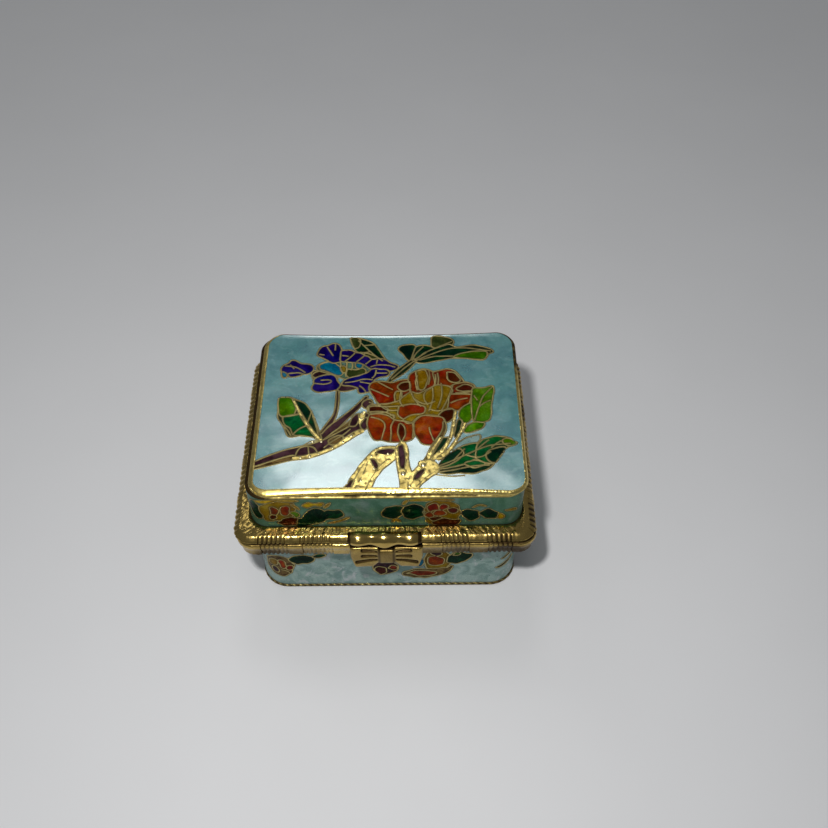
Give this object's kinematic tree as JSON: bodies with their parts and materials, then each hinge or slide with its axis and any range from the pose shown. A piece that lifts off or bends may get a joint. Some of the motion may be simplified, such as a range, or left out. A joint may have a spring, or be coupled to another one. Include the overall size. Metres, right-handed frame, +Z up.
{
  "type": "cloisonne enamel box",
  "caption": "Small hollow box of enamelled copper with a floral picture on its hinged lid, ribbed gilt brass rings round the mouth and a bow clasp.",
  "frame": {"origin": "middle of the whole box's outline, clasp and hinge included, at the level of the underside", "axes": "+X to the right along the front, -Y towards the clasp, +Z up"},
  "size_m": [0.0542, 0.0488, 0.0294],
  "materials": {
    "turquoise_enamel": "fired vitreous enamel, polished, pale turquoise with darker speckle",
    "cobalt_enamel": "fired vitreous enamel, deep cobalt blue",
    "cyan_enamel": "fired vitreous enamel, cyan",
    "orange_enamel": "fired vitreous enamel, orange red shaded to amber",
    "amber_enamel": "fired vitreous enamel, amber",
    "dark_green_enamel": "fired vitreous enamel, dark green",
    "leaf_green_enamel": "fired vitreous enamel, bright leaf green",
    "plum_enamel": "fired vitreous enamel, purple brown",
    "counter_enamel": "plain counter enamel inside and underneath, slightly mottled",
    "gilt_wire": "gilt copper wire, polished level with the enamel",
    "gilt_brass": "stamped brass, gilt, worn bright on the ribs and darker in the hollows"
  },
  "bodies": {
    "base": {"body_shell": "turquoise_enamel", "body_bezel": "gilt_brass", "clasp_lower": "gilt_brass", "hinge_knuckle_left": "gilt_brass", "hinge_knuckle_right": "gilt_brass", "hinge_pin": "gilt_brass"},
    "lid": {"lid_shell": "turquoise_enamel", "lid_bezel": "gilt_brass", "clasp_upper": "gilt_brass", "hinge_knuckle_lid": "gilt_brass"}
  },
  "joints": [
    {"name": "lid_hinge", "type": "hinge", "parent": "base", "child": "lid", "pos_m": [0, 0.02335, 0.01885], "axis": [-1, 0, 0], "range_deg": [0, 100]}
  ]
}
